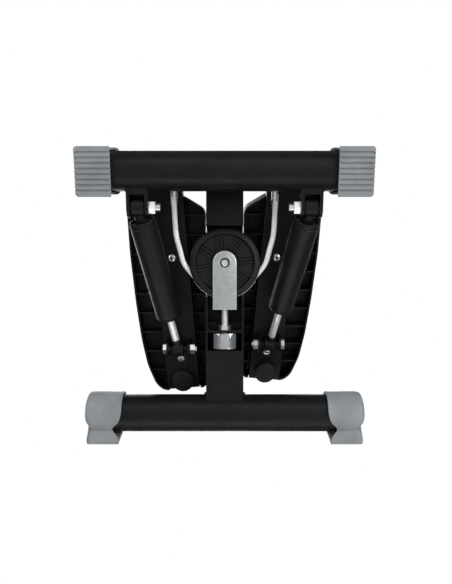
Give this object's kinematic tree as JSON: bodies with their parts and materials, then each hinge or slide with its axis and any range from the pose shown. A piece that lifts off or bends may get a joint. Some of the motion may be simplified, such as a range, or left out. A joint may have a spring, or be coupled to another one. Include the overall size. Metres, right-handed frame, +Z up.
{
  "type": "mini stepper",
  "caption": "Compact stair-climbing exercise machine: floor frame, two pedal arms on a toe-end axle, hydraulic dampers and a cable over a pulley that links the pedals.",
  "frame": {"origin": "centre of the footprint on the floor, under the flat feet of the front end caps", "axes": "+X to the user's right, +Y forward towards the toes, +Z up"},
  "size_m": [0.377, 0.386, 0.1663],
  "materials": {
    "frame_paint": "black satin powder coat",
    "plug_plastic": "black moulded plastic",
    "zinc_steel": "bright zinc plate",
    "clevis_steel": "zinc-plated strap",
    "cable_sheath": "pale plastic-coated steel cable",
    "pulley_plastic": "black moulded plastic",
    "bush_brass": "plain",
    "bush_nylon": "natural nylon",
    "knob_chrome": "bright chrome",
    "pedal_plastic": "black moulded plastic with a fine grain",
    "bumper_rubber": "black rubber",
    "damper_paint": "black satin paint",
    "rod_chrome": "hard chrome",
    "rod_end_plastic": "black moulded plastic",
    "cap_plastic": "grey moulded plastic"
  },
  "bodies": {
    "frame": {"front_tube": "frame_paint", "rear_tube": "frame_paint", "main_tube": "frame_paint", "front_post": "frame_paint", "post_plug": "plug_plastic", "arm_axle": "zinc_steel", "axle_spacers": "frame_paint", "axle_washers": "zinc_steel", "axle_nuts": "zinc_steel", "right_damper_bracket": "frame_paint", "left_damper_bracket": "frame_paint", "damper_bolts": "zinc_steel", "adjuster_plate": "frame_paint", "pulley_clevis": "clevis_steel", "adjuster_rod": "zinc_steel", "adjuster_nut": "zinc_steel", "pulley_bolt": "zinc_steel", "pulley_cable": "cable_sheath"},
    "right_arm": {"right_arm": "frame_paint", "right_arm_plug": "plug_plastic", "right_arm_bushes": "bush_nylon", "right_pedal": "pedal_plastic", "right_pedal_screws": "zinc_steel", "right_bumper": "bumper_rubber", "right_cable_lug": "frame_paint", "right_cable_ferrule": "zinc_steel", "right_damper_lug": "frame_paint", "right_damper_pin": "zinc_steel"},
    "right_damper": {"right_damper_cylinder": "damper_paint"},
    "right_rod": {"right_damper_rod": "rod_chrome", "right_damper_piston": "zinc_steel", "right_rod_end": "rod_end_plastic"},
    "left_arm": {"left_arm": "frame_paint", "left_arm_plug": "plug_plastic", "left_arm_bushes": "bush_nylon", "left_pedal": "pedal_plastic", "left_pedal_screws": "zinc_steel", "left_bumper": "bumper_rubber", "left_cable_lug": "frame_paint", "left_cable_ferrule": "zinc_steel", "left_damper_lug": "frame_paint", "left_damper_pin": "zinc_steel"},
    "left_damper": {"left_damper_cylinder": "damper_paint"},
    "left_rod": {"left_damper_rod": "rod_chrome", "left_damper_piston": "zinc_steel", "left_rod_end": "rod_end_plastic"},
    "pulley": {"pulley": "pulley_plastic", "pulley_bush": "bush_brass"},
    "knob": {"adjuster_knob": "knob_chrome"},
    "front_right_cap": {"front_right_cap": "cap_plastic"},
    "front_left_cap": {"front_left_cap": "cap_plastic"},
    "rear_right_cap": {"rear_right_cap": "cap_plastic"},
    "rear_left_cap": {"rear_left_cap": "cap_plastic"}
  },
  "joints": [
    {"name": "right_arm_pivot", "type": "hinge", "parent": "frame", "child": "right_arm", "pos_m": [0, 0.163, 0.117], "axis": [-1, 0, 0], "range_deg": [-3.5, 11.2]},
    {"name": "left_arm_pivot", "type": "hinge", "parent": "frame", "child": "left_arm", "pos_m": [0, 0.163, 0.117], "axis": [-1, 0, 0], "range_deg": [-11.2, 3.5]},
    {"name": "pulley_turn", "type": "hinge", "parent": "frame", "child": "pulley", "pos_m": [0, 0.03891, 0.07404], "axis": [0, -0.2181, 0.9759], "range_deg": [-8.5, 2.8]},
    {"name": "right_damper_swing", "type": "hinge", "parent": "frame", "child": "right_damper", "pos_m": [0.109, 0.118, 0.03], "axis": [-1, 0, 0], "range_deg": [-3.9, 12.4]},
    {"name": "right_rod_slide", "type": "slide", "parent": "right_damper", "child": "right_rod", "axis": [-0.2091, -0.9553, 0.2091], "range_m": [-0.0062, 0.0196]},
    {"name": "left_damper_swing", "type": "hinge", "parent": "frame", "child": "left_damper", "pos_m": [-0.109, 0.118, 0.03], "axis": [-1, 0, 0], "range_deg": [-12.5, 4]},
    {"name": "left_rod_slide", "type": "slide", "parent": "left_damper", "child": "left_rod", "axis": [0.1973, -0.917, 0.3468], "range_m": [-0.0196, 0.0062]},
    {"name": "knob_turn", "type": "hinge", "parent": "frame", "child": "knob", "pos_m": [0, -0.06356, 0.05114], "axis": [0, 0.9759, 0.2181], "continuous": true},
    {"name": "front_right_cap_turn", "type": "hinge", "parent": "frame", "child": "front_right_cap", "pos_m": [0.16, 0.163, 0.032], "axis": [1, 0, 0], "range_deg": [0, 90]},
    {"name": "front_left_cap_turn", "type": "hinge", "parent": "frame", "child": "front_left_cap", "pos_m": [-0.16, 0.163, 0.032], "axis": [1, 0, 0], "range_deg": [0, 90]},
    {"name": "rear_right_cap_turn", "type": "hinge", "parent": "frame", "child": "rear_right_cap", "pos_m": [0.16, -0.161, 0.032], "axis": [1, 0, 0], "range_deg": [0, 90]},
    {"name": "rear_left_cap_turn", "type": "hinge", "parent": "frame", "child": "rear_left_cap", "pos_m": [-0.16, -0.161, 0.032], "axis": [1, 0, 0], "range_deg": [0, 90]}
  ],
  "couplings": [
    {"joint": "left_arm_pivot", "follows": "right_arm_pivot", "ratio": -1},
    {"joint": "pulley_turn", "follows": "right_arm_pivot", "ratio": -0.74},
    {"joint": "right_damper_swing", "follows": "right_arm_pivot", "ratio": 1.0847},
    {"joint": "right_rod_slide", "follows": "right_arm_pivot", "m_per_rad": 0.098326},
    {"joint": "left_damper_swing", "follows": "right_arm_pivot", "ratio": -1.0891},
    {"joint": "left_rod_slide", "follows": "right_arm_pivot", "m_per_rad": -0.097911}
  ]
}
